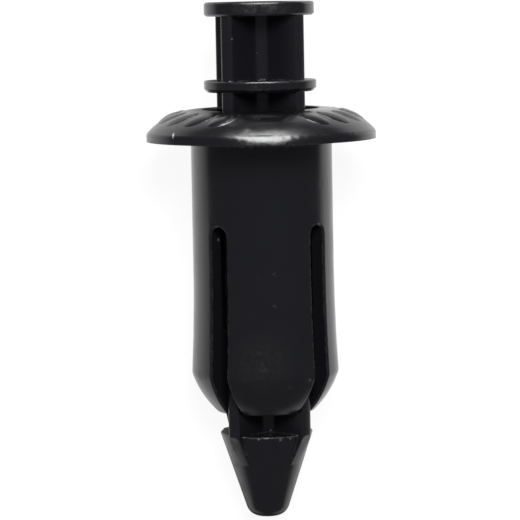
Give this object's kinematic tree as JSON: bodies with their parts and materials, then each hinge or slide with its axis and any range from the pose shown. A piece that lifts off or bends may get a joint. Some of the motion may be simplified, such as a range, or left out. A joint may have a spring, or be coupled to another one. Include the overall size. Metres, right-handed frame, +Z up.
{
  "type": "plastic push rivet",
  "caption": "Two-piece plastic push rivet: a domed flange on a slotted shank with springing legs, locked in a panel hole by pushing its finned centre pin home.",
  "frame": {"origin": "centre of the flange's seat face, on the rivet's own axis", "axes": "the rivet lies on its side: +Z is up, and its axis towards the pin's head points along +Y and rises 9.9 degrees towards +Z; one leg faces straight up and one straight down"},
  "size_m": [0.013, 0.0296, 0.0129],
  "materials": {
    "sleeve_plastic": "black moulded nylon, semi-gloss",
    "pin_plastic": "black moulded nylon, semi-gloss"
  },
  "bodies": {
    "sleeve": {"sleeve": "sleeve_plastic"},
    "centre_pin": {"centre_pin": "pin_plastic"}
  },
  "joints": [
    {"name": "pin_slide", "type": "slide", "parent": "sleeve", "child": "centre_pin", "axis": [0, -0.9851, -0.172], "range_m": [-0.00122, 0.00602]}
  ]
}
